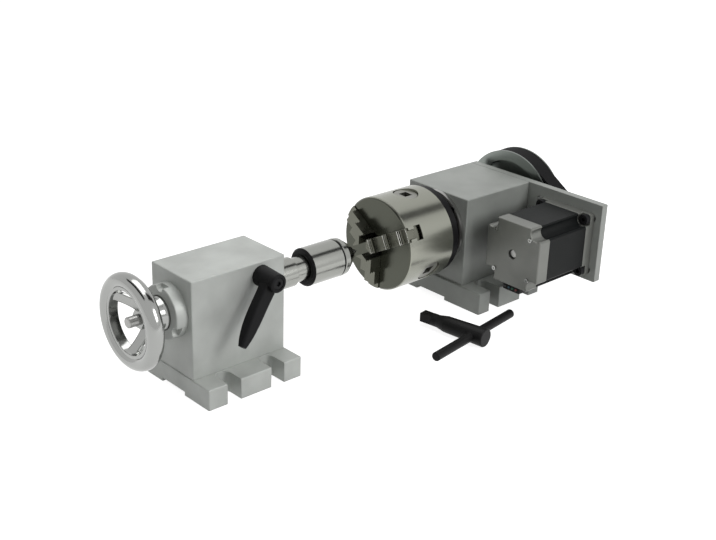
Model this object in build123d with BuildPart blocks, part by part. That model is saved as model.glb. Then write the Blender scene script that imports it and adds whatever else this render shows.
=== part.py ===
from build123d import *

import os
from math import asin, atan2, cos, degrees, hypot, pi, radians, sin, sqrt, tan

# Rotary axis for a small router: belt-driven headstock with a three-jaw scroll chuck, tailstock with a
# live centre, and the chuck key. The origin is on the spindle axis at the chuck's front face,
# +X runs from the tailstock to the headstock, +Z is up, and the motor stands out on the -Y side.
# Lengths are in millimetres. Angles round the axis start at -Y and grow towards +Z.

# Shared sizes and clearances
spindle_height = 65.0
edge_break = 0.6
running_gap = 0.3
overcut = 2.0
sliding_fit = 0.05
seat_fit = 0.02
table = -spindle_height

# Headstock block, and its base, which starts a little in front of it
head_front = 71.0
head_length = 80.0
head_width = 70.0
head_top = 33.0
head_base_lead = 2.0
head_base_width = 115.0
head_base_thick = 19.5
head_channel_width = 34.0

# Tailstock block, and its base, which stands out by a margin at both ends
tail_front = -120.0
tail_length = 85.0
tail_width = 50.0
tail_top = 29.5
tail_base_margin = 0.75
tail_base_width = 90.0
tail_base_thick = 16.5
tail_channel_width = 29.0
wall_behind = 12.0

# Clamping slots and underside channel of both bases
slot_width = 12.4
slot_spacing = 40.6
slot_end_gap = 1.0
channel_depth = 3.0

# Cap screws: shank radius, head radius and head height, and how far a head sits in its hole
small_screw = (1.5, 2.6, 2.3)
medium_screw = (2.5, 4.3, 4.5)
large_screw = (3.0, 5.0, 6.0)
head_room = 0.3
end_room = 1.0

# Screws that hold each block on its base
base_screw_length = 24.0
head_screw_spread = (56.0, 52.0)
tail_screw_spread = (60.0, 36.0)

# Spindle and its bearings
spindle_radius = 12.5
spindle_bore_radius = 9.0
nose_radius = 30.0
nose_thick = 7.0
nose_spigot_radius = 20.0
nose_spigot_length = 3.0
collar_radius = 15.5
bearing_radius = 26.0
bearing_width = 15.0
inner_race_radius = 17.0
cage_radius = 20.2
cage_width = 8.0
body_bore_radius = 19.0
cover_radius = 33.0
cover_thick = 3.5
cover_screw_circle = 29.5
cover_screw_length = 8.0
cover_screw_sink = 2.5
spindle_nut_thick = 7.0
spindle_nut_radius = 18.0
spanner_slot = 5.0

# Chuck
chuck_radius = 40.0
through_radius = 8.0
chuck_length = 52.0
chuck_chamfer = 1.6
jaw_angles = (27.4, 147.4, 267.4)
socket_angles = (87.4, 207.4, 327.4)
wall_front = 12.0
cavity_radius = 32.5
hub_radius = 10.5
cavity_back = 42.0
back_cover_radius = 37.0
register_radius = 27.5
register_depth = 3.5
mount_circle = 33.0
mount_angle = 57.4
back_screw_circle = 34.4
back_screw_head = 2.2
back_screw_sink = 3.0
back_screw_bite = 7.0
nose_screw_circle = 24.5
mount_screw_length = 10.0
adapter_radius = 38.5
adapter_thick = 7.0

# Jaws, measured from the tips and from the chuck's face
jaw_width = 12.0
jaw_tip = 5.0
jaw_end = 39.0
jaw_steps = ((9.4, 17.0), (22.0, 11.5), (34.0, 6.0), (39.0, 1.0))
jaw_groove_top = 2.4
jaw_groove_bottom = 9.4
jaw_waist = 7.4
serration_width = 1.1
serration_depth = 0.6
jaw_closing = 4.0
jaw_opening = 7.0
first_tooth = 16.0
jaw_end_bow = 0.6
serration_spots = (0.3, 0.7)

# Scroll and its thread, which the jaw teeth ride in
scroll_pitch = 5.0
ridge_width = 2.0
ridge_height = 2.5
ridge_start = 13.3
ridge_turns = 3.58
ridge_step = 20.0
scroll_radius = 32.2
tooth_width = 2.2
tooth_height = 2.4
rim_slot_room = 1.5

# Crown gear on the scroll and the key pinions
crown_teeth = 45
pinion_teeth = 11
pinion_x = 29.3
gear_outer = 31.0
gear_inner = 21.0
gear_tooth_share = 0.39
gear_flank = 0.4
addendum = 1.0
dedendum = 1.5
root_bite = 0.2
pinion_head_radius = 10.5
pinion_head_outer = 38.2
pinion_head_inner = 33.0
pinion_neck_radius = 6.0
pinion_journal_radius = 4.0
socket_square = 8.1
socket_depth = 7.0

# Motor plate and motor
plate_thick = 7.0
plate_screw_spread = (56.0, 54.0)
plate_screw_length = 16.0
screw_sink = 4.8
plate_low = -37.0
plate_near = -114.9
plate_slot_width = 7.2
plate_slot_length = 17.0
plate_slot_shift = 2.6
plate_hole_radius = 19.0
pilot_room = 0.5
motor_drop = 3.9
motor_square = 56.4
motor_bolt_spread = 47.14
motor_bolt_tail = 7.0
motor_length = 71.0
washer_radius = 5.0
washer_thick = 1.0
nut_radius = 4.6
nut_thick = 4.0
flange_thick = 5.0
flange_corner = 3.0
front_cap_thick = 5.0
end_cap_thick = 12.7
flat_half = 17.6
corner_scoop_radius = 5.8
stack_inset = 0.4
rotor_room = 2.0
pilot_radius = 19.05
pilot_height = 1.6
motor_shaft_radius = 3.175
end_hole_radius = 4.2
rotor_radius = 14.5
motor_bearing_radius = 8.0
motor_bearing_width = 5.0
tie_screw = (1.2, 1.9, 1.1)
tie_inset = 5.7
connector_inset = 2.5
connector_width = 18.0
connector_height = 6.0

# Belt drive: toothed belt, 5 mm pitch
belt_pitch = 5.0
belt_teeth = 71
big_teeth = 60
small_teeth = 10
belt_width = 15.0
belt_back = 1.0
belt_inside = 0.2
belt_tooth_end = 1.4
tooth_root_half = 1.3
tooth_tip_half = 0.85
groove_mouth_half = 1.85
groove_floor_half = 1.15
land_below_pitch = 0.5
groove_depth = 1.7
pulley_front = 165.0
belt_room = 1.0
hub_proud = 2.0
rim_flange = 1.5
flange_lip = 1.8
rim_inner = 40.0
web_thick = 7.0
pulley_hub_radius = 18.0

# Quill, lead screw and handwheel
quill_radius = 12.0
quill_reach = 26.0
quill_length = 76.6
quill_out = 5.0
quill_in = 20.0
taper_radius = 8.9
taper_length = 44.0
taper_slope = 0.02497
shank_short = 3.0
screw_radius = 5.0
screw_core_radius = 4.0
nut_length = 12.0
screw_proud = 2.0
screw_collar = (7.0, 1.4)
quill_nut_radius = 8.5
key_setback = 20.0
key_screw_radius = 2.5
key_screw_sink = 2.0
key_pin_radius = 1.9
key_pin_length = 1.8
ring_radius = 21.0
ring_thick = 10.0
ring_notches = 3
first_notch = 90.0
ring_floor = 3.0
notch_radius = 4.5
notch_depth = 5.0
wheel_rim_radius = 30.8
rim_tube = (6.4, 5.8)
rim_band = (8.4, 4.0)
rim_centre = -34.3
wheel_hub_radius = 13.0
wheel_hub_tip_radius = 11.0
wheel_hub_length = 13.5
spoke_angles = (27.0, 147.0, 267.0)
spoke_root_width = 12.0
spoke_waist_width = 9.0
spoke_end_width = 10.5
spoke_thick = 5.0
spoke_corner = 1.4
wheel_nut_flats = 13.0
wheel_nut_thick = 6.5
stud_length = 9.0

# Live centre
centre_neck_radius = 10.0
centre_neck_length = 12.4
centre_radius = 15.7
centre_length = 32.5
rear_ring_thick = 1.6
seal_thick = 1.5
cap_land = 4.5
cap_length = 15.5
cap_tip_radius = 7.4
point_radius = 5.2
point_tail_radius = 5.0
point_tail_length = 30.0
centre_race_radius = 7.5
centre_race_width = 5.0
rear_ring_step = 2.0

# Clamp lever
lever_x = -142.5
lever_z = 18.5
lever_hub_rear_radius = 8.2
lever_hub_front_radius = 7.2
lever_hub_length = 21.0
lever_angle = 231.0
lever_lift = 11.0
lever_round = 1.4
arm_corner = 2.0
# Arm: distance from the screw, distance from the block, width and thickness of each section
arm_sections = ((2.0, 12.0, 12.5, 9.5), (16.0, 13.5, 11.6, 9.0),
                (44.0, 18.0, 9.0, 7.9), (53.0, 20.0, 6.0, 5.0))
clamp_screw_radius = 4.0
lever_cap = (1.8, 4.3, 2.8)
lever_cap_length = 4.5
lever_cap_sink = 3.2
cotter_radius = 7.5
cotter_bore_depth = 37.0
cotter_gap = 3.0
lever_grip = 12.6

# Chuck key, lying on the table in front of the headstock
key_tip_point = (18.6, -39.0)
key_angle = -81.5
key_length = 64.0
key_square = 7.8
key_square_length = 12.0
key_neck_radius = 5.4
key_neck_length = 5.0
key_cone_length = 8.0
key_body_radius = 7.0
key_head_radius = 8.0
key_bar_offset = 11.0
key_bar_radius = 3.8
key_bar_length = 110.0
key_round = 1.1

os.makedirs("parts", exist_ok=True)


def keep(piece, name):
    piece.part.label = name
    export_step(piece.part, f"parts/{name}.step")


def polar(angle, radius=1.0):
    return (0.0, -cos(radians(angle)) * radius, sin(radians(angle)) * radius)


def across(x, y=0.0, z=0.0, angle=0.0):
    # Square to the axis, seen from the tailstock: local x points along the given angle.
    return Plane(origin=(x, y, z), x_dir=polar(angle), z_dir=(-1, 0, 0))


def headed_back(x, y, z):
    # Place of a screw whose head looks towards +X.
    return Plane(origin=(x, y, z), z_dir=(1, 0, 0)).location


def outward(angle, radius, x=0.0):
    # Square to a radius: local x is the tangent, local y points to the tailstock, the normal outward.
    spot = polar(angle, radius)
    tangent = (0.0, sin(radians(angle)), cos(radians(angle)))
    return Plane(origin=(x, spot[1], spot[2]), x_dir=tangent, z_dir=polar(angle))


def beside(angle):
    # Through the axis and a radius: local x is the radius and local y points to the headstock.
    tangent = (0.0, sin(radians(angle)), cos(radians(angle)))
    return Plane(origin=(0, 0, 0), x_dir=polar(angle), z_dir=tangent)


def turned(points, y=0.0, z=0.0):
    # A turned shape from its half section (x, radius), round a line parallel to the axis.
    with BuildPart() as shape:
        with BuildSketch(Plane(origin=(0, y, z), x_dir=(1, 0, 0), z_dir=(0, -1, 0))):
            with BuildLine():
                Polyline(*points, close=True)
            make_face()
        revolve(axis=Axis((0, y, z), (1, 0, 0)))
    return shape.part


def ring(start, end, outer, inner, y=0.0, z=0.0):
    points = ((start, inner), (start, outer), (end, outer), (end, inner))
    return turned(points, y, z)


def slab(x_range, y_range, z_range):
    with BuildPart() as shape:
        with BuildSketch(Plane.XY.offset(z_range[0])):
            with Locations((sum(x_range) / 2, sum(y_range) / 2)):
                Rectangle(x_range[1] - x_range[0], y_range[1] - y_range[0])
        extrude(amount=z_range[1] - z_range[0])
    return shape.part


def socket_screw(size, length):
    # Cap screw along local Z, its head above the origin and its shank below.
    radius, head_radius, head_height = size
    with BuildPart() as shape:
        with BuildSketch(Plane.XY):
            Circle(head_radius)
        extrude(amount=head_height)
        with BuildSketch(Plane.XY):
            Circle(radius)
        extrude(amount=-length)
        with BuildSketch(Plane.XY.offset(head_height)):
            RegularPolygon(head_radius * 0.5, 6)
        extrude(amount=-head_height * 0.55, mode=Mode.SUBTRACT)
    return shape.part


def square_spots(spread_x, spread_y, mid_x=0.0, mid_y=0.0):
    spots = [(-1, -1), (1, -1), (1, 1), (-1, 1)]
    return [(mid_x + i * spread_x / 2, mid_y + j * spread_y / 2) for i, j in spots]


def slotted_base(front, length, width, thick, block_width, channel_width, screw_spread):
    middle = front + length / 2
    slot_heart = block_width / 2 + slot_end_gap + slot_width / 2
    with BuildPart() as base:
        with BuildSketch(Plane.XY.offset(table)):
            with Locations((middle, 0)):
                Rectangle(length, width)
        extrude(amount=thick)
        chamfer(base.edges().filter_by(Axis.Z) + base.faces().sort_by(Axis.Z)[-1].edges(), edge_break)
        with BuildSketch(Plane.XY.offset(table)):
            with Locations((middle, 0)):
                Rectangle(length, channel_width)
        extrude(amount=channel_depth, mode=Mode.SUBTRACT)
        with BuildSketch(Plane.XY.offset(table)):
            for side in (-1, 1):
                for shift in (-slot_spacing / 2, slot_spacing / 2):
                    with Locations((middle + shift, side * slot_heart)):
                        Circle(slot_width / 2)
                    with Locations((middle + shift, side * (slot_heart + width / 2) / 2)):
                        Rectangle(slot_width, width / 2 - slot_heart)
        extrude(amount=thick, mode=Mode.SUBTRACT)
        with BuildSketch(Plane.XY.offset(table)):
            with Locations(*square_spots(*screw_spread, middle)):
                Circle(large_screw[0] + seat_fit)
        extrude(amount=thick, mode=Mode.SUBTRACT)
        with BuildSketch(Plane.XY.offset(table)):
            with Locations(*square_spots(*screw_spread, middle)):
                Circle(large_screw[1] + head_room)
        extrude(amount=large_screw[2] + channel_depth, mode=Mode.SUBTRACT)
    return base


def base_screws(front, length, screw_spread):
    screw = socket_screw(large_screw, base_screw_length)
    seat = table + large_screw[2] + channel_depth
    with BuildPart() as screws:
        for x, y in square_spots(*screw_spread, front + length / 2):
            with Locations(Plane(origin=(x, y, seat), z_dir=(0, 0, -1)).location):
                add(screw)
    return screws


# Headstock base and block
head_base_front = head_front - head_base_lead
head_base = slotted_base(head_base_front, head_length, head_base_width, head_base_thick,
                         head_width, head_channel_width, head_screw_spread)
keep(head_base, "head_base")
head_base_screws = base_screws(head_base_front, head_length, head_screw_spread)
keep(head_base_screws, "head_base_screws")

head_back = head_front + head_length
head_bottom = table + head_base_thick
head_middle = head_base_front + head_length / 2
screw_hole_depth = large_screw[2] + channel_depth + base_screw_length - head_base_thick + end_room
plate_screw_spots = square_spots(*plate_screw_spread, 0.0, (head_top + plate_low) / 2)

with BuildPart() as head_body:
    add(slab((head_front, head_back), (-head_width / 2, head_width / 2), (head_bottom, head_top)))
    chamfer(head_body.edges().filter_by(Axis.Z) + head_body.faces().sort_by(Axis.Z)[-1].edges(), edge_break)
    add(ring(head_front, head_back, body_bore_radius, 0.0), mode=Mode.SUBTRACT)
    for seat in (head_front, head_back - bearing_width):
        add(ring(seat, seat + bearing_width, bearing_radius + seat_fit, 0.0), mode=Mode.SUBTRACT)
    with BuildSketch(Plane.XY.offset(head_bottom)):
        with Locations(*square_spots(*head_screw_spread, head_middle)):
            Circle(large_screw[0] + seat_fit)
    extrude(amount=screw_hole_depth, mode=Mode.SUBTRACT)
    with BuildSketch(across(head_front)):
        with PolarLocations(cover_screw_circle, 4, 45):
            Circle(small_screw[0] + seat_fit)
    extrude(amount=-cover_screw_length, mode=Mode.SUBTRACT)
    with BuildSketch(across(head_back)):
        with Locations(*plate_screw_spots):
            Circle(medium_screw[0] + seat_fit)
    extrude(amount=plate_screw_length, mode=Mode.SUBTRACT)
keep(head_body, "head_body")

with BuildPart() as bearing_cover:
    add(ring(head_front - cover_thick, head_front, cover_radius, collar_radius + running_gap * 2))
    with BuildSketch(across(head_front - cover_thick)):
        with PolarLocations(cover_screw_circle, 4, 45):
            Circle(small_screw[0] + seat_fit)
    extrude(amount=-cover_thick, mode=Mode.SUBTRACT)
    with BuildSketch(across(head_front - cover_thick)):
        with PolarLocations(cover_screw_circle, 4, 45):
            Circle(small_screw[1] + head_room)
    extrude(amount=-cover_screw_sink, mode=Mode.SUBTRACT)
keep(bearing_cover, "bearing_cover")

cover_screw = socket_screw(small_screw, cover_screw_length)
with BuildPart() as cover_screws:
    for turn in range(4):
        y, z = polar(45 + 90 * turn, cover_screw_circle)[1:]
        with Locations(across(head_front - cover_thick + cover_screw_sink, y, z).location):
            add(cover_screw)
keep(cover_screws, "cover_screws")


def outer_race(start):
    return ring(start, start + bearing_width, bearing_radius, cage_radius + running_gap)


def inner_race(start):
    middle = start + bearing_width / 2
    bore = spindle_radius + seat_fit
    points = [(start, bore), (start, inner_race_radius), (middle - cage_width / 2, inner_race_radius),
              (middle - cage_width / 2, cage_radius), (middle + cage_width / 2, cage_radius),
              (middle + cage_width / 2, inner_race_radius), (start + bearing_width, inner_race_radius),
              (start + bearing_width, bore)]
    return turned(points)


with BuildPart() as spindle_outer_races:
    add(outer_race(head_front))
    add(outer_race(head_back - bearing_width))
keep(spindle_outer_races, "spindle_outer_races")

with BuildPart() as spindle_inner_races:
    add(inner_race(head_front))
    add(inner_race(head_back - bearing_width))
keep(spindle_inner_races, "spindle_inner_races")

# Spindle, from the chuck adapter back to the pulley nut
adapter_back = chuck_length + adapter_thick
pulley_back = pulley_front + 2 * rim_flange + belt_width + belt_room
hub_back = pulley_back + hub_proud
spindle_end = hub_back + spindle_nut_thick + hub_proud

with BuildPart() as spindle:
    add(turned([
        (adapter_back - nose_spigot_length, spindle_bore_radius),
        (adapter_back - nose_spigot_length, nose_spigot_radius),
        (adapter_back, nose_spigot_radius),
        (adapter_back, nose_radius),
        (adapter_back + nose_thick, nose_radius),
        (adapter_back + nose_thick, collar_radius),
        (head_front, collar_radius),
        (head_front, spindle_radius),
        (spindle_end - end_room, spindle_radius),
        (spindle_end, spindle_radius - end_room),
        (spindle_end, spindle_bore_radius),
    ]))
    with BuildSketch(across(adapter_back + nose_thick)):
        with PolarLocations(nose_screw_circle, 4):
            Circle(medium_screw[1] + head_room)
    extrude(amount=screw_sink, mode=Mode.SUBTRACT)
    with BuildSketch(across(adapter_back + nose_thick)):
        with PolarLocations(nose_screw_circle, 4):
            Circle(medium_screw[0] + seat_fit)
    extrude(amount=nose_thick, mode=Mode.SUBTRACT)
keep(spindle, "spindle")

with BuildPart() as nose_screws:
    nose_screw = socket_screw(medium_screw, nose_thick)
    for turn in range(4):
        y, z = polar(90 * turn, nose_screw_circle)[1:]
        with Locations(headed_back(adapter_back + nose_thick - screw_sink, y, z)):
            add(nose_screw)
keep(nose_screws, "nose_screws")

with BuildPart() as bearing_spacers:
    for start, end in ((head_front + bearing_width, head_back - bearing_width), (head_back, pulley_front)):
        add(ring(start, end, collar_radius, spindle_radius + seat_fit))
keep(bearing_spacers, "bearing_spacers")

with BuildPart() as spindle_nut:
    add(ring(hub_back, hub_back + spindle_nut_thick, spindle_nut_radius, spindle_radius + seat_fit))
    with BuildSketch(across(hub_back)):
        with PolarLocations(spindle_nut_radius, 4, 45):
            Rectangle(spanner_slot, spanner_slot)
    extrude(amount=-spindle_nut_thick, mode=Mode.SUBTRACT)
keep(spindle_nut, "spindle_nut")

# Chuck adapter plate behind the chuck
with BuildPart() as chuck_adapter:
    add(turned([
        (chuck_length - register_depth + running_gap, through_radius),
        (chuck_length - register_depth + running_gap, register_radius - sliding_fit),
        (chuck_length, register_radius - sliding_fit),
        (chuck_length, adapter_radius),
        (adapter_back, adapter_radius),
        (adapter_back, nose_spigot_radius + sliding_fit),
        (adapter_back - nose_spigot_length - running_gap, nose_spigot_radius + sliding_fit),
        (adapter_back - nose_spigot_length - running_gap, through_radius),
    ]))
    chamfer(chuck_adapter.edges().filter_by(GeomType.CIRCLE).filter_by(
        lambda edge: abs(edge.radius - adapter_radius) < 0.01), edge_break)
    with BuildSketch(across(adapter_back)):
        with PolarLocations(nose_screw_circle, 4):
            Circle(medium_screw[0] + seat_fit)
        with PolarLocations(mount_circle, 3, mount_angle):
            Circle(medium_screw[0] + seat_fit)
    extrude(amount=adapter_thick, mode=Mode.SUBTRACT)
    with BuildSketch(across(adapter_back)):
        with PolarLocations(mount_circle, 3, mount_angle):
            Circle(medium_screw[1] + head_room)
    extrude(amount=screw_sink, mode=Mode.SUBTRACT)
keep(chuck_adapter, "chuck_adapter")

with BuildPart() as chuck_screws:
    chuck_screw = socket_screw(medium_screw, mount_screw_length)
    for turn in range(3):
        y, z = polar(mount_angle + 120 * turn, mount_circle)[1:]
        with Locations(headed_back(adapter_back - screw_sink, y, z)):
            add(chuck_screw)
keep(chuck_screws, "chuck_screws")

# Chuck body with its T-slots, scroll cavity and pinion holes
slot_half = jaw_width / 2 + running_gap
waist_half = jaw_waist / 2 + running_gap
rail_top = jaw_groove_top + running_gap
rail_bottom = jaw_groove_bottom - running_gap
slot_section = (
    (-slot_half, 1.0), (slot_half, 1.0), (slot_half, -rail_top), (waist_half, -rail_top),
    (waist_half, -rail_bottom), (slot_half, -rail_bottom), (slot_half, -wall_front - running_gap),
    (-slot_half, -wall_front - running_gap), (-slot_half, -rail_bottom), (-waist_half, -rail_bottom),
    (-waist_half, -rail_top), (-slot_half, -rail_top),
)
rim_slot_depth = wall_front + running_gap + tooth_height + rim_slot_room

with BuildPart() as chuck_body:
    add(ring(0.0, chuck_length, chuck_radius, through_radius))
    chamfer(chuck_body.edges().filter_by(GeomType.CIRCLE).filter_by(
        lambda edge: edge.radius > chuck_radius - 0.01), chuck_chamfer)
    add(ring(wall_front, cavity_back, cavity_radius, hub_radius), mode=Mode.SUBTRACT)
    add(ring(cavity_back, chuck_length, back_cover_radius + seat_fit, 0.0), mode=Mode.SUBTRACT)
    for angle in jaw_angles:
        with BuildSketch(outward(angle, 0.0)):
            Polygon(*slot_section, align=None)
        extrude(amount=chuck_radius + overcut, mode=Mode.SUBTRACT)
        with BuildSketch(outward(angle, cavity_radius - overcut)):
            with Locations((0, -(wall_front + rim_slot_depth) / 2)):
                Rectangle(slot_half * 2, rim_slot_depth - wall_front)
        extrude(amount=chuck_radius - cavity_radius + overcut * 2, mode=Mode.SUBTRACT)
    for angle in socket_angles:
        with BuildSketch(outward(angle, cavity_radius - overcut, pinion_x)):
            Circle(pinion_head_radius + running_gap)
        extrude(amount=chuck_radius - cavity_radius + overcut * 2, mode=Mode.SUBTRACT)
    with BuildSketch(across(cavity_back)):
        with PolarLocations(back_screw_circle, 3, jaw_angles[0]):
            Circle(small_screw[0] + seat_fit)
    extrude(amount=back_screw_bite, mode=Mode.SUBTRACT)
keep(chuck_body, "chuck_body")

with BuildPart() as chuck_back_cover:
    add(ring(cavity_back, chuck_length, back_cover_radius, through_radius))
    add(ring(chuck_length - register_depth, chuck_length, register_radius, 0.0), mode=Mode.SUBTRACT)
    with BuildSketch(across(cavity_back)):
        with PolarLocations(back_screw_circle, 3, jaw_angles[0]):
            Circle(small_screw[0] + seat_fit)
        with PolarLocations(mount_circle, 3, mount_angle):
            Circle(medium_screw[0] + seat_fit)
    extrude(amount=cavity_back - chuck_length, mode=Mode.SUBTRACT)
    with BuildSketch(across(chuck_length)):
        with PolarLocations(back_screw_circle, 3, jaw_angles[0]):
            Circle(back_screw_head)
    extrude(amount=back_screw_sink, mode=Mode.SUBTRACT)
keep(chuck_back_cover, "chuck_back_cover")

with BuildPart() as back_cover_screws:
    back_reach = chuck_length - back_screw_sink - cavity_back + back_screw_bite - end_room
    back_size = (small_screw[0], back_screw_head - seat_fit, back_screw_sink - head_room)
    back_screw = socket_screw(back_size, back_reach)
    for angle in jaw_angles:
        y, z = polar(angle, back_screw_circle)[1:]
        with Locations(headed_back(chuck_length - back_screw_sink, y, z)):
            add(back_screw)
keep(back_cover_screws, "back_cover_screws")

# Scroll: spiral ridge in front, crown gear behind
scroll_front = wall_front + running_gap + ridge_height
pinion_pitch_slope = pinion_teeth / crown_teeth
gear_pitch = 2 * pi * gear_outer / crown_teeth
pitch_half = gear_tooth_share * gear_pitch / 2
root_slope = (gear_outer * pinion_pitch_slope + dedendum) / gear_outer
scroll_back = pinion_x - root_slope * gear_inner


def ridge_point(angle, side):
    radius = ridge_start + scroll_pitch * angle / 360 + side * ridge_width / 2
    return (radius * cos(radians(angle)), radius * sin(radians(angle)))


def gear_tooth(angle, x, reach, sign):
    # A straight tooth whose flanks run to the gears' common point on the axis.
    with BuildPart() as tooth:
        for radius in (gear_inner, gear_outer):
            scale = radius / gear_outer
            root = (reach - sign * (dedendum + root_bite)) * scale
            tip = (reach + sign * addendum) * scale
            root_half = (pitch_half + gear_flank * dedendum) * scale
            tip_half = (pitch_half - gear_flank * addendum) * scale
            with BuildSketch(outward(angle, radius, x)):
                Polygon((-root_half, root), (root_half, root), (tip_half, tip), (-tip_half, tip), align=None)
        loft()
    return tooth.part


crown_tooth = gear_tooth(socket_angles[0], pinion_x, gear_outer * pinion_pitch_slope, -1)
ridge_angles = [ridge_step * step for step in range(int(ridge_turns * 360 / ridge_step) + 1)]

with BuildPart() as scroll_plate:
    add(turned([
        (scroll_front, hub_radius + running_gap),
        (scroll_front, scroll_radius),
        (pinion_x - root_slope * gear_outer, scroll_radius),
        (pinion_x - root_slope * gear_outer, gear_outer),
        (scroll_back, gear_inner),
        (scroll_back, hub_radius + running_gap),
    ]))
    add([crown_tooth.rotate(Axis.X, 360.0 * step / crown_teeth) for step in range(crown_teeth)])
    with BuildSketch(across(scroll_front)):
        with BuildLine():
            inner_edge = Spline(*[ridge_point(angle, -1) for angle in ridge_angles])
            outer_edge = Spline(*[ridge_point(angle, 1) for angle in ridge_angles])
            Line(inner_edge @ 0, outer_edge @ 0)
            Line(inner_edge @ 1, outer_edge @ 1)
        make_face()
    extrude(amount=ridge_height)
keep(scroll_plate, "scroll_plate")

# Key pinions
for number, angle in enumerate(socket_angles, start=1):
    pinion_axis = Axis(outward(angle, 0.0, pinion_x).origin, Vector(*polar(angle)))
    half_step = 180.0 / pinion_teeth
    pinion_tooth = gear_tooth(angle, pinion_x, gear_outer * pinion_pitch_slope, 1)
    with BuildPart() as pinion:
        with BuildSketch(outward(angle, hub_radius + running_gap, pinion_x)):
            Circle(pinion_journal_radius)
        extrude(amount=gear_inner - hub_radius - running_gap)
        for radius in (gear_inner, gear_outer):
            with BuildSketch(outward(angle, radius, pinion_x)):
                Circle((gear_outer * pinion_pitch_slope - dedendum) * radius / gear_outer)
        loft()
        add([pinion_tooth.rotate(pinion_axis, half_step * (2 * step + 1)) for step in range(pinion_teeth)])
        with BuildSketch(outward(angle, gear_outer, pinion_x)):
            Circle(pinion_neck_radius)
        extrude(amount=pinion_head_inner - gear_outer)
        with BuildSketch(outward(angle, pinion_head_inner, pinion_x)):
            Circle(pinion_head_radius)
        extrude(amount=pinion_head_outer - pinion_head_inner)
        chamfer(pinion.edges().filter_by(GeomType.CIRCLE).filter_by(
            lambda edge: edge.radius > pinion_head_radius - 0.01).sort_by_distance(
                outward(angle, chuck_radius, pinion_x).origin)[0], edge_break)
        with BuildSketch(outward(angle, pinion_head_outer, pinion_x)):
            Rectangle(socket_square, socket_square)
        extrude(amount=-socket_depth, mode=Mode.SUBTRACT)
    keep(pinion, f"pinion_{number}")

# Jaws, each with teeth set to the scroll thread at its own angle
for number, angle in enumerate(jaw_angles, start=1):
    first = ridge_start + scroll_pitch * angle / 360 + scroll_pitch / 2
    tooth_radii = [first + scroll_pitch * step for step in range(6)]
    tooth_radii = [radius for radius in tooth_radii if first_tooth < radius < jaw_end - tooth_width / 2]
    side_points = [(jaw_tip, wall_front), (jaw_tip, -jaw_steps[0][1])]
    for step, (end, height) in enumerate(jaw_steps):
        side_points.append((end, -height))
        if step + 1 < len(jaw_steps):
            side_points.append((end, -jaw_steps[step + 1][1]))
    side_points.append((jaw_end, wall_front))
    wedge = jaw_width / 2 / tan(radians(60))
    groove_middle = (jaw_groove_top + jaw_groove_bottom) / 2
    with BuildPart() as jaw:
        with BuildSketch(beside(angle)):
            Polygon(*side_points, align=None)
        extrude(amount=jaw_width / 2, both=True)
        with BuildSketch(across(wall_front, angle=angle)):
            with BuildLine():
                outline = Polyline((jaw_end - jaw_end_bow, jaw_width / 2), (jaw_tip + wedge, jaw_width / 2),
                                   (jaw_tip, 0), (jaw_tip + wedge, -jaw_width / 2),
                                   (jaw_end - jaw_end_bow, -jaw_width / 2))
                ThreePointArc(outline @ 1, (jaw_end, 0), outline @ 0)
            make_face()
        extrude(amount=wall_front + jaw_steps[0][1], mode=Mode.INTERSECT)
        for side in (-1, 1):
            with BuildSketch(outward(angle, 0.0)):
                with Locations((side * (jaw_waist + jaw_width) / 2, -groove_middle)):
                    Rectangle(jaw_width, jaw_groove_bottom - jaw_groove_top)
            extrude(amount=jaw_end + overcut, mode=Mode.SUBTRACT)
        for step in range(len(jaw_steps) - 1):
            end, height = jaw_steps[step]
            rise = height - jaw_steps[step + 1][1]
            for share in serration_spots:
                with BuildSketch(beside(angle)):
                    with Locations((end, -height + rise * share)):
                        Rectangle(serration_depth * 2, serration_width)
                extrude(amount=jaw_width, both=True, mode=Mode.SUBTRACT)
        for radius in tooth_radii:
            lead = degrees(atan2(scroll_pitch, 2 * pi * radius))
            widest = radius + jaw_opening
            tightest = radius - jaw_closing
            y, z = polar(angle, radius)[1:]
            with BuildSketch(across(wall_front, y, z, angle - lead)):
                Rectangle(tooth_width + scroll_pitch, jaw_width - edge_break)
                with Locations((tooth_width / 2 - tightest, 0)):
                    Circle(tightest, mode=Mode.INTERSECT)
                with Locations((-tooth_width / 2 - widest, 0)):
                    Circle(widest, mode=Mode.SUBTRACT)
            extrude(amount=-tooth_height)
    keep(jaw, f"jaw_{number}")

# Belt drive geometry: the belt's own length sets the distance between the shafts
big_pitch_radius = big_teeth * belt_pitch / (2 * pi)
small_pitch_radius = small_teeth * belt_pitch / (2 * pi)
belt_length = belt_teeth * belt_pitch
shaft_distance = belt_length / 4
for turn in range(60):
    lean = asin((big_pitch_radius - small_pitch_radius) / shaft_distance)
    wrapped = big_pitch_radius * (pi + 2 * lean) + small_pitch_radius * (pi - 2 * lean)
    shaft_distance = (shaft_distance + (belt_length - wrapped) / (2 * cos(lean))) / 2
motor_y = -sqrt(shaft_distance ** 2 - motor_drop ** 2)
motor_z = -motor_drop
line_angle = degrees(atan2(motor_z, -motor_y))
belt_start = pulley_front + rim_flange + belt_room / 2


def belt_loop(outset):
    # Outline of the belt at a distance from its pitch line, drawn with the motor along local x.
    big = big_pitch_radius + outset
    small = small_pitch_radius + outset
    with BuildLine() as loop:
        upper = Line((big * sin(lean), big * cos(lean)),
                     (shaft_distance + small * sin(lean), small * cos(lean)))
        lower = Line((big * sin(lean), -big * cos(lean)),
                     (shaft_distance + small * sin(lean), -small * cos(lean)))
        ThreePointArc(upper @ 1, (shaft_distance + small, 0), lower @ 1)
        ThreePointArc(upper @ 0, (-big, 0), lower @ 0)
    return loop.line


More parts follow.
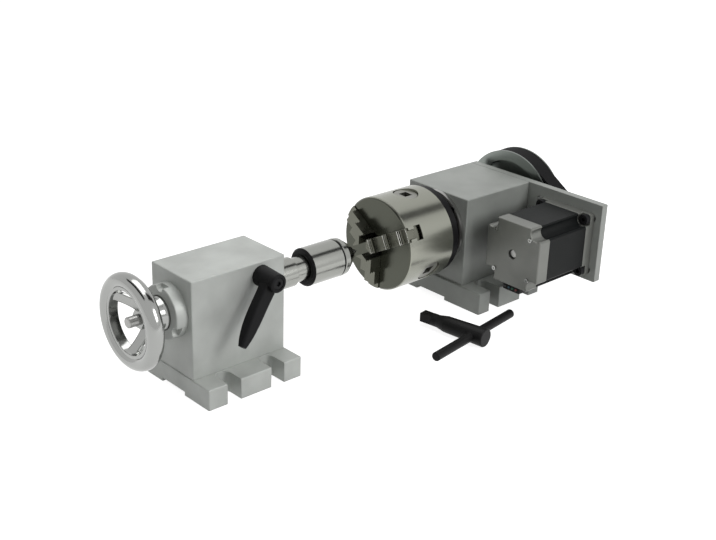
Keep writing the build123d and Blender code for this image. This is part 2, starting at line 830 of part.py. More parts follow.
def belt_spot(travel):
    # Place and outward direction on the pitch line, counted from the point farthest from the motor.
    along = abs(travel)
    side = 1 if travel >= 0 else -1
    big_arc = big_pitch_radius * (pi / 2 + lean)
    straight = shaft_distance * cos(lean)
    if along < big_arc:
        facing = pi - along / big_pitch_radius
        spot = (big_pitch_radius * cos(facing), big_pitch_radius * sin(facing))
    elif along < big_arc + straight:
        facing = pi / 2 - lean
        run = along - big_arc
        spot = (big_pitch_radius * sin(lean) + run * cos(lean),
                big_pitch_radius * cos(lean) - run * sin(lean))
    else:
        facing = pi / 2 - lean - (along - big_arc - straight) / small_pitch_radius
        spot = (shaft_distance + small_pitch_radius * cos(facing), small_pitch_radius * sin(facing))
    return spot[0], side * spot[1], side * degrees(facing)


with BuildPart() as drive_belt:
    with BuildSketch(across(belt_start, angle=line_angle)):
        make_face(belt_loop(belt_back).edges())
        make_face(belt_loop(-belt_inside).edges(), mode=Mode.SUBTRACT)
        for tooth in range(belt_teeth):
            spot_x, spot_y, facing = belt_spot((tooth - belt_teeth // 2) * belt_pitch)
            with Locations(Location((spot_x, spot_y, 0), (0, 0, facing))):
                Polygon((0, -tooth_root_half), (0, tooth_root_half), (-belt_inside, tooth_root_half),
                        (-belt_tooth_end, tooth_tip_half), (-belt_tooth_end, -tooth_tip_half),
                        (-belt_inside, -tooth_root_half), align=None)
    extrude(amount=-belt_width)
keep(drive_belt, "drive_belt")


def toothed_rim(pitch_radius, teeth, first_angle):
    land = pitch_radius - land_below_pitch
    with BuildSketch() as rim:
        Circle(land)
        with PolarLocations(land, teeth, first_angle):
            Polygon((belt_room, -groove_mouth_half), (belt_room, groove_mouth_half),
                    (0, groove_mouth_half), (-groove_depth, groove_floor_half),
                    (-groove_depth, -groove_floor_half), (0, -groove_mouth_half),
                    align=None, mode=Mode.SUBTRACT)
    return rim.sketch


rim_start = pulley_front + rim_flange
rim_end = pulley_back - rim_flange
web_start = (rim_start + rim_end) / 2 - web_thick / 2
big_land = big_pitch_radius - land_below_pitch

with BuildPart() as drive_pulley:
    with BuildSketch(across(rim_start, angle=line_angle)):
        add(toothed_rim(big_pitch_radius, big_teeth, 0.0))
    extrude(amount=rim_start - rim_end)
    add(ring(rim_start, web_start, rim_inner, 0.0), mode=Mode.SUBTRACT)
    add(ring(web_start + web_thick, rim_end, rim_inner, 0.0), mode=Mode.SUBTRACT)
    add(ring(pulley_front, hub_back, pulley_hub_radius, 0.0))
    add(ring(pulley_front, rim_start, big_land + flange_lip, rim_inner))
    add(ring(rim_end, pulley_back, big_land + flange_lip, rim_inner))
    add(ring(pulley_front, hub_back, spindle_radius + seat_fit, 0.0), mode=Mode.SUBTRACT)
keep(drive_pulley, "drive_pulley")

# Motor plate behind the headstock block
plate_front = head_back
plate_back = plate_front + plate_thick
motor_bolts = square_spots(motor_bolt_spread, motor_bolt_spread, -motor_y, motor_z)

with BuildPart() as motor_plate:
    add(slab((plate_front, plate_back), (plate_near, head_width / 2), (plate_low, head_top)))
    chamfer(motor_plate.edges().filter_by(Axis.X), edge_break)
    add(ring(plate_front, plate_back, plate_hole_radius, 0.0), mode=Mode.SUBTRACT)
    with BuildSketch(across(plate_front)):
        with Locations((-motor_y - plate_slot_shift, motor_z)):
            SlotCenterToCenter(plate_slot_length - plate_slot_width, (pilot_radius + pilot_room) * 2)
        for right, up in motor_bolts:
            with Locations((right - plate_slot_shift, up)):
                SlotOverall(plate_slot_length, plate_slot_width)
        with Locations(*plate_screw_spots):
            Circle(medium_screw[0] + seat_fit)
    extrude(amount=-plate_thick, mode=Mode.SUBTRACT)
    with BuildSketch(across(plate_back)):
        with Locations(*plate_screw_spots):
            Circle(medium_screw[1] + head_room)
    extrude(amount=screw_sink, mode=Mode.SUBTRACT)
keep(motor_plate, "motor_plate")

with BuildPart() as plate_screws:
    plate_screw = socket_screw(medium_screw, plate_screw_length)
    for right, up in plate_screw_spots:
        with Locations(headed_back(plate_back - screw_sink, -right, up)):
            add(plate_screw)
keep(plate_screws, "plate_screws")

# Motor: flange and front cap, stack, end cap, shaft and rotor
motor_face = plate_front - motor_length
tie_half = motor_bolt_spread / 2 - tie_inset
stack_front = motor_face + end_cap_thick
stack_back = plate_front - flange_thick - front_cap_thick


def cap_outline(shrink=0.0):
    # Square with scooped corners that leave room for the mounting screws.
    half = motor_square / 2 - shrink
    with BuildSketch() as outline:
        with BuildLine():
            Polyline((flat_half, half), (half, flat_half), (half, -flat_half), (flat_half, -half),
                     (-flat_half, -half), (-half, -flat_half), (-half, flat_half), (-flat_half, half),
                     close=True)
        make_face()
        with Locations(*square_spots(motor_bolt_spread, motor_bolt_spread)):
            Circle(corner_scoop_radius, mode=Mode.SUBTRACT)
    return outline.sketch


with BuildPart() as motor_flange:
    with BuildSketch(across(plate_front, motor_y, motor_z)):
        RectangleRounded(motor_square, motor_square, flange_corner)
    extrude(amount=flange_thick)
    with BuildSketch(across(plate_front - flange_thick, motor_y, motor_z)):
        add(cap_outline())
    extrude(amount=front_cap_thick)
    add(ring(plate_front, plate_front + pilot_height, pilot_radius, 0.0, motor_y, motor_z))
    with BuildSketch(across(plate_front, motor_y, motor_z)):
        with Locations(*square_spots(motor_bolt_spread, motor_bolt_spread)):
            Circle(medium_screw[0] + running_gap / 2)
    extrude(amount=flange_thick, mode=Mode.SUBTRACT)
    add(ring(stack_back, stack_back + motor_bearing_width, motor_bearing_radius + seat_fit, 0.0,
             motor_y, motor_z), mode=Mode.SUBTRACT)
    add(ring(stack_back, plate_front + pilot_height, motor_shaft_radius + running_gap, 0.0,
             motor_y, motor_z), mode=Mode.SUBTRACT)
keep(motor_flange, "motor_flange")

with BuildPart() as motor_stack:
    with BuildSketch(across(stack_front, motor_y, motor_z)):
        add(cap_outline(stack_inset))
        Circle(rotor_radius + running_gap, mode=Mode.SUBTRACT)
    extrude(amount=stack_front - stack_back)
keep(motor_stack, "motor_stack")

with BuildPart() as motor_end_cap:
    with BuildSketch(across(motor_face, motor_y, motor_z)):
        add(cap_outline())
    extrude(amount=-end_cap_thick)
    chamfer(motor_end_cap.faces().sort_by(Axis.X)[0].edges(), edge_break)
    add(ring(stack_front - motor_bearing_width, stack_front, motor_bearing_radius + seat_fit, 0.0,
             motor_y, motor_z), mode=Mode.SUBTRACT)
    add(ring(motor_face, stack_front, end_hole_radius, 0.0, motor_y, motor_z), mode=Mode.SUBTRACT)
    with BuildSketch(across(motor_face, motor_y, motor_z)):
        with Locations(*square_spots(tie_half * 2, tie_half * 2)):
            Circle(tie_screw[0] + seat_fit)
    extrude(amount=-end_room, mode=Mode.SUBTRACT)
keep(motor_end_cap, "motor_end_cap")

with BuildPart() as motor_bearings:
    for start in (stack_front - motor_bearing_width, stack_back):
        add(ring(start, start + motor_bearing_width, motor_bearing_radius,
                 motor_shaft_radius + sliding_fit, motor_y, motor_z))
keep(motor_bearings, "motor_bearings")

with BuildPart() as motor_screws:
    motor_screw = socket_screw(medium_screw, flange_thick + plate_thick + motor_bolt_tail)
    for right, up in motor_bolts:
        with Locations(across(plate_front - flange_thick, -right, up).location):
            add(motor_screw)
keep(motor_screws, "motor_screws")

with BuildPart() as motor_nuts:
    for right, up in motor_bolts:
        nut_start = plate_back + washer_thick
        add(ring(plate_back, nut_start, washer_radius, medium_screw[0] + seat_fit, -right, up))
        with BuildSketch(across(nut_start, -right, up)):
            RegularPolygon(nut_radius, 6)
            Circle(medium_screw[0] + seat_fit, mode=Mode.SUBTRACT)
        extrude(amount=-nut_thick)
keep(motor_nuts, "motor_nuts")

with BuildPart() as motor_tie_screws:
    tie = socket_screw(tie_screw, end_room * 0.9)
    for right, up in square_spots(tie_half * 2, tie_half * 2, -motor_y, motor_z):
        with Locations(across(motor_face, -right, up).location):
            add(tie)
keep(motor_tie_screws, "motor_tie_screws")

connector_top = motor_z - motor_square / 2
with BuildPart() as lead_connector:
    add(slab((motor_face + connector_inset, motor_face + end_cap_thick - end_room),
             (motor_y - connector_width / 2, motor_y + connector_width / 2),
             (connector_top - connector_height, connector_top)))
    fillet(lead_connector.edges().filter_by(Axis.Z), 1.0)
keep(lead_connector, "lead_connector")

with BuildPart() as motor_shaft:
    add(turned([
        (motor_face + rotor_room, 0.0),
        (motor_face + rotor_room, motor_shaft_radius),
        (pulley_back + end_room / 2, motor_shaft_radius),
        (pulley_back + end_room, motor_shaft_radius - end_room / 2),
        (pulley_back + end_room, 0.0),
    ], motor_y, motor_z))
keep(motor_shaft, "motor_shaft")

with BuildPart() as motor_rotor:
    add(ring(stack_front + rotor_room, stack_back - rotor_room, rotor_radius, motor_shaft_radius + seat_fit,
             motor_y, motor_z))
keep(motor_rotor, "motor_rotor")

small_land = small_pitch_radius - land_below_pitch
with BuildPart() as motor_pulley:
    with BuildSketch(across(rim_start, motor_y, motor_z, line_angle)):
        add(toothed_rim(small_pitch_radius, small_teeth, 180.0 / small_teeth))
    extrude(amount=rim_start - rim_end)
    add(ring(plate_back + end_room * 1.5, rim_start, small_land + flange_lip, 0.0, motor_y, motor_z))
    add(ring(rim_end, pulley_back, small_land + flange_lip, 0.0, motor_y, motor_z))
    add(ring(plate_back, pulley_back, motor_shaft_radius + seat_fit, 0.0, motor_y, motor_z),
        mode=Mode.SUBTRACT)
keep(motor_pulley, "motor_pulley")

# Tailstock base and block
tail_back = tail_front - tail_length
tail_base_back = tail_back - tail_base_margin
tail_base_length = tail_length + 2 * tail_base_margin
tail_bottom = table + tail_base_thick
tail_middle = tail_base_back + tail_base_length / 2
tail_base = slotted_base(tail_base_back, tail_base_length, tail_base_width, tail_base_thick,
                         tail_width, tail_channel_width, tail_screw_spread)
keep(tail_base, "tail_base")
tail_base_screws = base_screws(tail_base_back, tail_base_length, tail_screw_spread)
keep(tail_base_screws, "tail_base_screws")

tail_screw_depth = large_screw[2] + channel_depth + base_screw_length - tail_base_thick + end_room
key_x = tail_front - key_setback

with BuildPart() as tail_body:
    add(slab((tail_back, tail_front), (-tail_width / 2, tail_width / 2), (tail_bottom, tail_top)))
    chamfer(tail_body.edges().filter_by(Axis.Z) + tail_body.faces().sort_by(Axis.Z)[-1].edges(), edge_break)
    add(ring(tail_back + wall_behind, tail_front, quill_radius + sliding_fit, 0.0), mode=Mode.SUBTRACT)
    add(ring(tail_back, tail_back + wall_behind, screw_radius + running_gap, 0.0), mode=Mode.SUBTRACT)
    with BuildSketch(Plane(origin=(lever_x, -tail_width / 2, lever_z), z_dir=(0, 1, 0))):
        Circle(cotter_radius + sliding_fit)
    extrude(amount=cotter_bore_depth, mode=Mode.SUBTRACT)
    with BuildSketch(Plane.XY.offset(tail_bottom)):
        with Locations(*square_spots(*tail_screw_spread, tail_middle)):
            Circle(large_screw[0] + seat_fit)
    extrude(amount=tail_screw_depth, mode=Mode.SUBTRACT)
    with BuildSketch(Plane(origin=(key_x, tail_width / 2, 0), z_dir=(0, -1, 0))):
        Circle(key_screw_radius + seat_fit)
    extrude(amount=tail_width / 2 - quill_radius + end_room, mode=Mode.SUBTRACT)
keep(tail_body, "tail_body")

ring_back = tail_back - ring_thick
with BuildPart() as notched_ring:
    add(ring(ring_back, tail_back, ring_radius, wheel_hub_radius + running_gap))
    add(ring(tail_back - ring_floor, tail_back, ring_radius - edge_break, screw_radius + running_gap))
    chamfer(notched_ring.faces().sort_by(Axis.X)[0].edges().filter_by(
        lambda edge: edge.radius > ring_radius - 0.01), edge_break)
    with BuildSketch(across(ring_back)):
        with PolarLocations(ring_radius, ring_notches, first_notch):
            Circle(notch_radius)
    extrude(amount=-notch_depth, mode=Mode.SUBTRACT)
keep(notched_ring, "notched_ring")

with BuildPart() as quill_key:
    with BuildSketch(Plane(origin=(key_x, tail_width / 2 - key_screw_sink, 0), z_dir=(0, -1, 0))):
        Circle(key_screw_radius)
    extrude(amount=tail_width / 2 - key_screw_sink - quill_radius)
    with BuildSketch(Plane(origin=(key_x, quill_radius, 0), z_dir=(0, -1, 0))):
        Circle(key_pin_radius)
    extrude(amount=key_pin_length)
keep(quill_key, "quill_key")

# Quill with its taper, nut and live centre
quill_front = tail_front + quill_reach
quill_back = quill_front - quill_length
taper_end = quill_front - taper_length

with BuildPart() as quill:
    add(ring(quill_back, quill_front, quill_radius, 0.0))
    chamfer(quill.edges().filter_by(GeomType.CIRCLE), edge_break)
    add(turned([
        (quill_front, 0.0),
        (quill_front, taper_radius),
        (taper_end, taper_radius - taper_slope * taper_length),
        (taper_end, 0.0),
    ]), mode=Mode.SUBTRACT)
    add(ring(quill_back + nut_length, taper_end, screw_radius + end_room, 0.0), mode=Mode.SUBTRACT)
    add(ring(quill_back, quill_back + nut_length, quill_nut_radius, 0.0), mode=Mode.SUBTRACT)
    with BuildSketch(Plane(origin=(key_x, quill_radius, 0), x_dir=(1, 0, 0), z_dir=(0, -1, 0))):
        with Locations(((quill_in - quill_out) / 2, 0)):
            SlotCenterToCenter(quill_in + quill_out + running_gap * 2, (key_pin_radius + running_gap) * 2)
    extrude(amount=key_pin_length + running_gap, mode=Mode.SUBTRACT)
keep(quill, "quill")

with BuildPart() as quill_nut:
    add(ring(quill_back, quill_back + nut_length, quill_nut_radius - seat_fit, screw_radius + sliding_fit))
keep(quill_nut, "quill_nut")

centre_back = quill_front + centre_neck_length
centre_front = centre_back + centre_length
seal_front = centre_front + seal_thick
cap_front = seal_front + cap_length
point_reach = point_radius / tan(radians(30))
shank_end = taper_end + shank_short
shank_end_radius = taper_radius - taper_slope * (quill_front - shank_end) - seat_fit

with BuildPart() as centre_housing:
    add(turned([
        (shank_end, 0.0),
        (shank_end, shank_end_radius),
        (quill_front, taper_radius - seat_fit),
        (quill_front + running_gap, centre_neck_radius),
        (centre_back + rear_ring_thick, centre_neck_radius),
        (centre_back + rear_ring_thick, centre_radius),
        (centre_front - edge_break, centre_radius),
        (centre_front, centre_radius - edge_break),
        (centre_front, centre_race_radius),
        (centre_front - point_tail_length, centre_race_radius),
        (centre_front - point_tail_length, 0.0),
    ]))
keep(centre_housing, "centre_housing")

with BuildPart() as centre_rear_ring:
    add(turned([
        (centre_back, centre_neck_radius + rear_ring_step),
        (centre_back, centre_radius - rear_ring_thick),
        (centre_back + rear_ring_thick, centre_radius),
        (centre_back + rear_ring_thick, centre_neck_radius + seat_fit),
        (centre_back + rear_ring_thick / 2, centre_neck_radius + seat_fit),
    ]))
keep(centre_rear_ring, "centre_rear_ring")

with BuildPart() as centre_seal:
    add(ring(centre_front, seal_front, centre_radius - edge_break * 1.5, point_tail_radius + running_gap))
keep(centre_seal, "centre_seal")

with BuildPart() as centre_cap:
    add(turned([
        (seal_front, point_tail_radius + running_gap),
        (seal_front, centre_radius - edge_break),
        (seal_front + edge_break, centre_radius),
        (seal_front + cap_land, centre_radius - running_gap),
        (cap_front - edge_break, cap_tip_radius + edge_break),
        (cap_front, cap_tip_radius),
        (cap_front, point_radius + running_gap),
        (seal_front + end_room, point_radius + running_gap),
    ]))
keep(centre_cap, "centre_cap")

with BuildPart() as centre_bearings:
    race_ends = (centre_front - point_tail_length + end_room, centre_front - centre_race_width - end_room)
    for start in race_ends:
        add(ring(start, start + centre_race_width, centre_race_radius - seat_fit,
                 point_tail_radius + sliding_fit))
keep(centre_bearings, "centre_bearings")

with BuildPart() as centre_point:
    add(turned([
        (centre_front - point_tail_length + running_gap, 0.0),
        (centre_front - point_tail_length + running_gap, point_tail_radius),
        (seal_front + end_room * 1.5, point_tail_radius),
        (seal_front + end_room * 1.5, point_radius),
        (cap_front + running_gap, point_radius),
        (cap_front + running_gap + point_reach, 0.0),
    ]))
keep(centre_point, "centre_point")

# Lead screw and handwheel
hub_front = tail_back - ring_floor - end_room
hub_end = ring_back - wheel_hub_length + end_room
nut_end = hub_end - wheel_nut_thick
stud_end = nut_end - stud_length
screw_end = quill_back + nut_length + screw_proud
collar_start = tail_back + wall_behind + running_gap

with BuildPart() as lead_screw:
    add(turned([
        (stud_end, 0.0),
        (stud_end, screw_core_radius - edge_break),
        (stud_end + edge_break, screw_core_radius),
        (hub_front, screw_core_radius),
        (hub_front, screw_radius),
        (collar_start, screw_radius),
        (collar_start, screw_collar[0]),
        (collar_start + screw_collar[1], screw_collar[0]),
        (collar_start + screw_collar[1], screw_radius),
        (screw_end, screw_radius),
        (screw_end, 0.0),
    ]))
keep(lead_screw, "lead_screw")

rim_x = tail_back + rim_centre
band_radius = wheel_rim_radius - rim_tube[1] + rim_band[1] / 4
spoke_rim_x = rim_x - 1.0
spoke_hub_x = hub_end + spoke_thick / 2 + running_gap
spoke_middle = ((wheel_hub_tip_radius + band_radius) / 2, (spoke_hub_x + spoke_rim_x) / 2)

with BuildPart() as handwheel:
    with BuildSketch(Plane(origin=(0, 0, 0), x_dir=(1, 0, 0), z_dir=(0, -1, 0))):
        with Locations((rim_x, wheel_rim_radius)):
            Ellipse(*rim_tube)
        with Locations((rim_x, band_radius)):
            RectangleRounded(*rim_band, edge_break)
    revolve(axis=Axis.X)
    add(turned([
        (hub_end, screw_core_radius + seat_fit),
        (hub_end, wheel_hub_tip_radius - edge_break),
        (hub_end + edge_break, wheel_hub_tip_radius),
        (ring_back - end_room * 3, wheel_hub_radius - edge_break),
        (ring_back - end_room * 1.5, wheel_hub_radius),
        (hub_front, wheel_hub_radius),
        (hub_front, screw_core_radius + seat_fit),
    ]))
    for angle in spoke_angles:
        with BuildSketch(outward(angle, wheel_hub_tip_radius - overcut, spoke_hub_x)):
            RectangleRounded(spoke_root_width, spoke_thick, spoke_corner)
        with BuildSketch(outward(angle, *spoke_middle)):
            RectangleRounded(spoke_waist_width, spoke_thick, spoke_corner)
        with BuildSketch(outward(angle, band_radius, spoke_rim_x)):
            RectangleRounded(spoke_end_width, spoke_thick, spoke_corner)
        loft()
keep(handwheel, "handwheel")

with BuildPart() as wheel_nut:
    with BuildSketch(across(nut_end)):
        RegularPolygon(wheel_nut_flats / 2, 6, major_radius=False)
        Circle(screw_core_radius + seat_fit, mode=Mode.SUBTRACT)
    extrude(amount=-wheel_nut_thick)
    add(turned([
        (nut_end, 0.0),
        (nut_end, wheel_nut_flats / 2),
        (nut_end + end_room, wheel_nut_flats),
        (hub_end, wheel_nut_flats),
        (hub_end, 0.0),
    ]), mode=Mode.INTERSECT)
keep(wheel_nut, "wheel_nut")

# Clamp: two cotters that grip the quill, their screw and the lever
face_y = -tail_width / 2


def cotter(start, end, bore):
    with BuildPart() as half:
        with BuildSketch(Plane(origin=(lever_x, start, lever_z), z_dir=(0, 1, 0))):
            Circle(cotter_radius)
            Circle(bore, mode=Mode.SUBTRACT)
        extrude(amount=end - start)
        add(ring(lever_x - cotter_radius, lever_x + cotter_radius, quill_radius + sliding_fit * 2, 0.0),
            mode=Mode.SUBTRACT)
    return half.part


far_end = face_y + cotter_bore_depth
with BuildPart() as clamp_cotters:
    add(cotter(face_y + cotter_gap, -cotter_gap, clamp_screw_radius + running_gap))
    add(cotter(cotter_gap, far_end - running_gap, clamp_screw_radius + running_gap))
keep(clamp_cotters, "clamp_cotters")

lever_face = face_y - running_gap
lever_front = lever_face - lever_hub_length
with BuildPart() as clamp_screw:
    with BuildSketch(Plane(origin=(lever_x, lever_face - lever_grip, lever_z), z_dir=(0, 1, 0))):
        Circle(clamp_screw_radius)
    extrude(amount=lever_grip + cotter_bore_depth - cotter_gap)
keep(clamp_screw, "clamp_screw")

arm_way = (cos(radians(lever_angle)), sin(radians(lever_angle)))


def arm_plane(reach, out):
    spot = (lever_x + arm_way[0] * reach, lever_face - out, lever_z + arm_way[1] * reach)
    normal = (arm_way[0] * cos(radians(lever_lift)), -sin(radians(lever_lift)),
              arm_way[1] * cos(radians(lever_lift)))
    side = (-arm_way[1], 0.0, arm_way[0])
    return Plane(origin=spot, x_dir=side, z_dir=normal)


with BuildPart() as clamp_lever:
    with BuildSketch(Plane(origin=(lever_x, lever_face, lever_z), z_dir=(0, -1, 0))):
        Circle(lever_hub_rear_radius)
    with BuildSketch(Plane(origin=(lever_x, lever_front, lever_z), z_dir=(0, -1, 0))):
        Circle(lever_hub_front_radius)
    loft()
    fillet(clamp_lever.edges().filter_by(GeomType.CIRCLE).sort_by(Axis.Y)[0], lever_round)
    for reach, out, width, thick in arm_sections:
        with BuildSketch(arm_plane(reach, out)):
            RectangleRounded(width, thick, arm_corner)
    loft()
    with BuildSketch(Plane(origin=(lever_x, lever_face, lever_z), z_dir=(0, -1, 0))):
        Circle(clamp_screw_radius + seat_fit)
    extrude(amount=lever_grip + running_gap, mode=Mode.SUBTRACT)
    with BuildSketch(Plane(origin=(lever_x, lever_front, lever_z), z_dir=(0, 1, 0))):
        Circle(lever_cap[1] + head_room)
    extrude(amount=lever_cap_sink, mode=Mode.SUBTRACT)
    with BuildSketch(Plane(origin=(lever_x, lever_front, lever_z), z_dir=(0, 1, 0))):
        Circle(lever_cap[0] + seat_fit)
    extrude(amount=lever_hub_length - lever_grip, mode=Mode.SUBTRACT)
keep(clamp_lever, "clamp_lever")

cap_seat = Plane(origin=(lever_x, lever_front + lever_cap_sink, lever_z), z_dir=(0, -1, 0))
with BuildPart() as lever_cap_screw:
    with Locations(cap_seat.location):
        add(socket_screw(lever_cap, lever_cap_length))
keep(lever_cap_screw, "lever_cap_screw")

# Chuck key and its bar
key_way = Vector(cos(radians(key_angle)), sin(radians(key_angle)), 0)
key_z = table + key_head_radius
key_tip = Vector(key_tip_point[0], key_tip_point[1], key_z)
key_plane = Plane(origin=key_tip, x_dir=(0, 0, 1), z_dir=key_way)
bar_heart = key_tip + key_way * (key_length - key_bar_offset)
bar_way = Vector(-sin(radians(key_angle)), cos(radians(key_angle)), 0)
body_start = key_square_length + key_neck_length + key_cone_length

with BuildPart() as chuck_key:
    with BuildSketch(key_plane):
        Rectangle(key_square, key_square)
    extrude(amount=key_square_length + end_room)
    chamfer(chuck_key.faces().sort_by(Axis((0, 0, 0), key_way))[0].edges(), edge_break)
    with BuildSketch(key_plane.offset(key_square_length)):
        Circle(key_neck_radius)
    extrude(amount=key_neck_length)
    with BuildSketch(key_plane.offset(key_square_length + key_neck_length)):
        Circle(key_neck_radius)
    with BuildSketch(key_plane.offset(body_start)):
        Circle(key_body_radius)
    loft()
    with BuildSketch(key_plane.offset(body_start)):
        Circle(key_body_radius)
    with BuildSketch(key_plane.offset(key_length)):
        Circle(key_head_radius)
    loft()
    fillet(chuck_key.edges().filter_by(GeomType.CIRCLE).sort_by(Axis((0, 0, 0), key_way))[-1], key_round)
    with BuildSketch(Plane(origin=bar_heart, z_dir=bar_way)):
        Circle(key_bar_radius + seat_fit)
    extrude(amount=key_head_radius * 2, both=True, mode=Mode.SUBTRACT)
keep(chuck_key, "chuck_key")

with BuildPart() as key_bar:
    with BuildSketch(Plane(origin=bar_heart - bar_way * (key_bar_length / 2), z_dir=bar_way)):
        Circle(key_bar_radius)
    extrude(amount=key_bar_length)
    fillet(key_bar.edges().filter_by(GeomType.CIRCLE), key_round)
keep(key_bar, "key_bar")
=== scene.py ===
import math

import bpy
from mathutils import Matrix, Vector


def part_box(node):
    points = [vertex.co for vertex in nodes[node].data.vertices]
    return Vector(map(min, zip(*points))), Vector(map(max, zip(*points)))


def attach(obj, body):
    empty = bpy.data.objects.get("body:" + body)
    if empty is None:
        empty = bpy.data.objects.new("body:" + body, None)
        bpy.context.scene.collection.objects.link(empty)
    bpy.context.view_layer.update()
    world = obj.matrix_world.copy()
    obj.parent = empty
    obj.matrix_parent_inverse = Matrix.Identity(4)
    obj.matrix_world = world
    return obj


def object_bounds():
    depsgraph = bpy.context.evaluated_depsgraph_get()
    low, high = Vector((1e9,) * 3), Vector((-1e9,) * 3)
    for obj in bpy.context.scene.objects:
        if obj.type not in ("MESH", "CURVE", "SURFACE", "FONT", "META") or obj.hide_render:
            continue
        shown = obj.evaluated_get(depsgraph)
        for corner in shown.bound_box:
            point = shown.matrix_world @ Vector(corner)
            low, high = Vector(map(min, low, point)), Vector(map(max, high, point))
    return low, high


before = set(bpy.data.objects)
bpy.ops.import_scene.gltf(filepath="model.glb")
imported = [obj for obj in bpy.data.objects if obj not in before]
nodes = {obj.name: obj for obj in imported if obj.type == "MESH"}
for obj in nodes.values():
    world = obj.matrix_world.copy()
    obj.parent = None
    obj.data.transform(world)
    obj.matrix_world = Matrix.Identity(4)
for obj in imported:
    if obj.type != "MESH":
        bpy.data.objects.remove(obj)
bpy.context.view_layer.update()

mm = 0.001


# Shader helpers; finishes are measured in metres, on each piece's own coordinates

def newFinish(name, colour, rough, metal=0.0, shine=0.5):
    mat = bpy.data.materials.new(name)
    mat.use_nodes = True
    shader = mat.node_tree.nodes["Principled BSDF"]
    shader.inputs["Base Color"].default_value = (*colour, 1)
    shader.inputs["Roughness"].default_value = rough
    shader.inputs["Metallic"].default_value = metal
    shader.inputs["Specular IOR Level"].default_value = shine
    return mat, shader, mat.node_tree


def feed(tree, sockets, given):
    # a fixed value is set on its socket, what comes out of a node is linked to it
    for socket, value in zip(sockets, given):
        if isinstance(value, (int, float, tuple)):
            socket.default_value = value
        else:
            tree.links.new(value, socket)


def valueStep(tree, operation, *given):
    step = tree.nodes.new("ShaderNodeMath")
    step.operation = operation
    feed(tree, step.inputs, given)
    return step.outputs["Value"]


def vectorStep(tree, operation, *given):
    step = tree.nodes.new("ShaderNodeVectorMath")
    step.operation = operation
    feed(tree, step.inputs, given)
    return step.outputs["Value" if operation in ("LENGTH", "DOT_PRODUCT") else "Vector"]


def colourStep(tree, share, low, high):
    # low where share is 0 and high where it is 1
    mix = tree.nodes.new("ShaderNodeMix")
    mix.data_type = "RGBA"
    feed(tree, (mix.inputs["Factor"], mix.inputs["A"], mix.inputs["B"]), (share, low, high))
    return mix.outputs["Result"]


def noiseStep(tree, size, detail):
    # soft random spots of about this size
    coord = tree.nodes.new("ShaderNodeTexCoord")
    noise = tree.nodes.new("ShaderNodeTexNoise")
    noise.inputs["Scale"].default_value = 1 / size
    noise.inputs["Detail"].default_value = detail
    tree.links.new(coord.outputs["Object"], noise.inputs["Vector"])
    return noise.outputs["Fac"]


def bumpStep(tree, height, depth, under=None):
    # the surface raised by height, over the shape that it already has
    bump = tree.nodes.new("ShaderNodeBump")
    bump.inputs["Distance"].default_value = depth
    tree.links.new(height, bump.inputs["Height"])
    if under is not None:
        tree.links.new(under, bump.inputs["Normal"])
    return bump.outputs["Normal"]


def xyzParts(tree, vector):
    parts = tree.nodes.new("ShaderNodeSeparateXYZ")
    tree.links.new(vector, parts.inputs["Vector"])
    return parts.outputs["X"], parts.outputs["Y"], parts.outputs["Z"]


def grainBump(tree, shader, size, depth, detail=3.0, under=None):
    # fine grain in the surface; size is the spacing of the grain
    grain = bumpStep(tree, noiseStep(tree, size, detail), depth, under)
    tree.links.new(grain, shader.inputs["Normal"])


cloudRamp = {"detail": 4.0, "ends": (0.32, 0.68)}  # how softly the light and dark spots run together


def mottle(tree, shader, socket, value, look):
    # slow drift of a number or colour, between its lowest and highest share in spread
    shades = value if isinstance(value, tuple) else (value,) * 3
    ramp = tree.nodes.new("ShaderNodeValToRGB")
    for stop, position, share in zip(ramp.color_ramp.elements, cloudRamp["ends"], look["spread"]):
        stop.position = position
        stop.color = (*(shade * share for shade in shades), 1)
    tree.links.new(noiseStep(tree, look["cloud"], cloudRamp["detail"]), ramp.inputs["Fac"])
    tree.links.new(ramp.outputs["Color"], shader.inputs[socket])


# Blasted aluminium of the blocks, bases and motor plate
blastedLook = {
    # head: a darker copy of the tail's aluminium, painted shade on the head block, its base and the motor
    # plate
    "head": {"colour": (0.31, 0.325, 0.305), "rough": 0.42, "metal": 0.1},
    "tail": {"colour": (0.525, 0.545, 0.52), "rough": 0.48, "metal": 0.2},
    "cloud": 0.03, "spread": (0.88, 1.08),
    "grain": 0.0006, "grainDepth": 0.00006,
    "edge": 0.0009, "edgeSamples": 6,
}


def blastedAluminium(name, look):
    mat, shader, tree = newFinish(name, look["colour"], look["rough"], look["metal"])
    mottle(tree, shader, "Base Color", look["colour"], blastedLook)
    edge = tree.nodes.new("ShaderNodeBevel")  # corners broken by the blasting
    edge.samples = blastedLook["edgeSamples"]
    edge.inputs["Radius"].default_value = blastedLook["edge"]
    grainBump(tree, shader, blastedLook["grain"], blastedLook["grainDepth"], under=edge.outputs["Normal"])
    return mat


shadedHeadFinish = blastedAluminium("blastedHeadShaded", blastedLook["head"])
tailFinish = blastedAluminium("blastedTail", blastedLook["tail"])

# Turned and ground steel
steelLook = {
    "chuck": {"colour": (0.29, 0.295, 0.255), "rough": 0.25, "pitch": 0.0007, "depth": 0.000008},
    "jaw": {"colour": (0.14, 0.142, 0.118), "rough": 0.28, "grain": 0.0008},
    # face: a darker copy of the chuck steel, painted shade on the chuck's flat front
    "face": {"colour": (0.078, 0.081, 0.066), "edge": 0.0009},
    "quill": {"colour": (0.31, 0.315, 0.295), "rough": 0.2, "pitch": 0.0005, "depth": 0.000004},
    "plain": {"colour": (0.34, 0.34, 0.33), "rough": 0.3, "pitch": 0.0004, "depth": 0.00001},
    "pinion": {"colour": (0.25, 0.25, 0.23), "rough": 0.34, "grain": 0.0005},
}
turnedLook = {"cloud": 0.03, "spread": (0.94, 1.06), "ringDetail": 3.0,
              "grain": 0.0005, "grainDetail": 2.0, "grainShare": 0.5}
groundLook = {"cloud": 0.01, "spread": (0.8, 1.3), "grainDepth": 0.00002}


